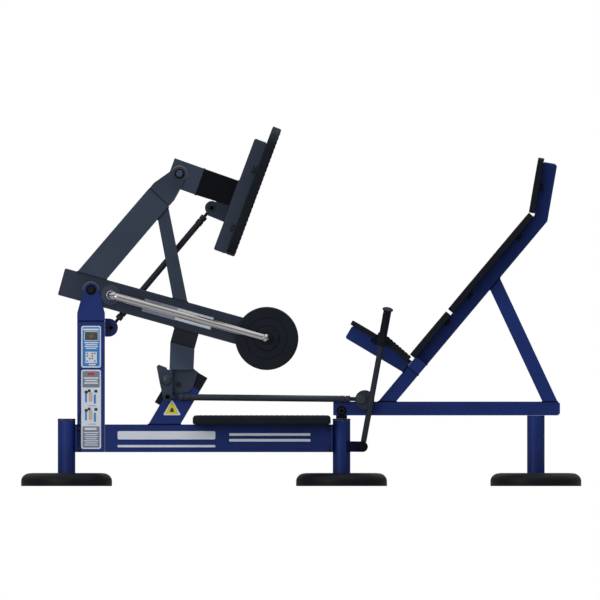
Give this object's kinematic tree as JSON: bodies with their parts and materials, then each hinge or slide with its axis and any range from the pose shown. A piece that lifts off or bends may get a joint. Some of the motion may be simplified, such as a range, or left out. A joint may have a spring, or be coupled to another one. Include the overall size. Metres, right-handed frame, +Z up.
{
  "type": "leg press machine",
  "caption": "Seated leg press on three posts: pivoted press arm with captive weight discs on chrome loops, levelled foot board, lever-released catch, inclined seat and back rest.",
  "frame": {"origin": "on the floor, midway between the outer two posts, in the machine's middle plane", "axes": "+X along the machine from the press arm's pivot towards the head rest, +Y to the far side of the machine from the lever, +Z up"},
  "size_m": [2.426, 0.55, 1.5581],
  "materials": {
    "blue_paint": "satin fine-textured blue powder coat",
    "anthracite_paint": "satin anthracite grey powder coat",
    "black_cover": "matt black moulded cover",
    "black_rubber": "matt black rubber with a fine grain",
    "pad_rubber": "dense black moulded pad with a soft sheen",
    "coated_iron": "iron disc in a blue-black rubber coat",
    "chrome": "polished chrome-plated steel tube",
    "dark_steel": "blackened steel pins, bolts and link neck"
  },
  "bodies": {
    "frame": {"foot_cover_left": "black_cover", "foot_cover_middle": "black_cover", "foot_cover_right": "black_cover", "post_left": "blue_paint", "post_middle": "blue_paint", "post_right": "blue_paint", "main_beam": "blue_paint", "upright": "blue_paint", "upright_cheek_near": "blue_paint", "upright_cheek_far": "blue_paint", "main_pivot_pin": "dark_steel", "link_lug": "blue_paint", "step_pad": "black_rubber", "stop_post": "blue_paint", "stop_buffer": "black_rubber", "stop_side_pad": "black_rubber", "stop_cheek_near": "anthracite_paint", "stop_cheek_far": "anthracite_paint", "seat_beam": "blue_paint", "seat_beam_lug": "blue_paint", "seat_beam_bolt": "dark_steel", "seat_strut": "blue_paint", "seat_cross_tube": "blue_paint", "back_tube": "blue_paint", "rear_strut": "blue_paint", "seat_tube": "blue_paint", "seat_front_pad": "pad_rubber", "seat_rear_pad": "pad_rubber", "back_pad_lower": "pad_rubber", "back_pad_upper": "pad_rubber", "head_pad": "pad_rubber", "lever_bracket": "blue_paint"},
    "press_arm": {"main_arm": "anthracite_paint", "upper_arm": "anthracite_paint", "arm_cheek_near": "anthracite_paint", "arm_cheek_far": "anthracite_paint", "upper_pivot_pin": "dark_steel", "arm_brace": "anthracite_paint", "arm_stub": "anthracite_paint", "support_column": "anthracite_paint", "load_rail_near": "chrome", "load_rail_far": "chrome"},
    "weight_near": {"weight_disc_near": "coated_iron"},
    "weight_far": {"weight_disc_far": "coated_iron"},
    "foot_carriage": {"foot_frame_near": "anthracite_paint", "foot_frame_far": "anthracite_paint", "foot_frame_lower": "anthracite_paint", "foot_frame_middle": "anthracite_paint", "foot_frame_upper": "anthracite_paint", "foot_board": "black_rubber", "foot_arm_head": "anthracite_paint", "foot_arm_neck": "dark_steel", "foot_lug": "anthracite_paint"},
    "link_rod": {"link_rod": "anthracite_paint"},
    "catch": {"catch_plate_near": "anthracite_paint", "catch_plate_far": "anthracite_paint", "catch_shaft": "dark_steel"},
    "lock_lever": {"lock_lever": "anthracite_paint", "lever_grip": "black_rubber"},
    "lock_rod": {"lock_rod": "anthracite_paint"}
  },
  "joints": [
    {"name": "press_arm_pivot", "type": "hinge", "parent": "frame", "child": "press_arm", "pos_m": [-0.9102, 0, 0.8504], "axis": [0, -1, 0], "range_deg": [0, 25]},
    {"name": "foot_carriage_pivot", "type": "hinge", "parent": "press_arm", "child": "foot_carriage", "pos_m": [-0.5274, 0, 1.3527], "axis": [0, -1, 0], "range_deg": [-20.5, 0.5]},
    {"name": "link_rod_pivot", "type": "hinge", "parent": "frame", "child": "link_rod", "pos_m": [-0.824, 0.056, 0.6863], "axis": [0, -1, 0], "range_deg": [-0.5, 23.5]},
    {"name": "weight_spin_near", "type": "hinge", "parent": "press_arm", "child": "weight_near", "pos_m": [-0.14893, -0.0625, 0.63928], "axis": [0, -1, 0], "continuous": true},
    {"name": "weight_spin_far", "type": "hinge", "parent": "press_arm", "child": "weight_far", "pos_m": [-0.14893, 0.0625, 0.63928], "axis": [0, -1, 0], "continuous": true},
    {"name": "lock_lever_pull", "type": "hinge", "parent": "frame", "child": "lock_lever", "pos_m": [0.2659, 0, 0.1706], "axis": [0, 1, 0], "range_deg": [0, 7]},
    {"name": "lock_rod_pivot", "type": "hinge", "parent": "lock_lever", "child": "lock_rod", "pos_m": [0.2602, -0.053, 0.3767], "axis": [0, -1, 0], "range_deg": [-0.5, 7.5]},
    {"name": "catch_swing", "type": "hinge", "parent": "frame", "child": "catch", "pos_m": [-0.5824, 0, 0.4603], "axis": [0, -1, 0], "range_deg": [-0.5, 20.5]}
  ],
  "couplings": [
    {"joint": "foot_carriage_pivot", "follows": "press_arm_pivot", "ratio": -0.802},
    {"joint": "link_rod_pivot", "follows": "press_arm_pivot", "ratio": 0.914},
    {"joint": "lock_rod_pivot", "follows": "lock_lever_pull", "ratio": 0.945},
    {"joint": "catch_swing", "follows": "lock_lever_pull", "ratio": 2.84}
  ]
}
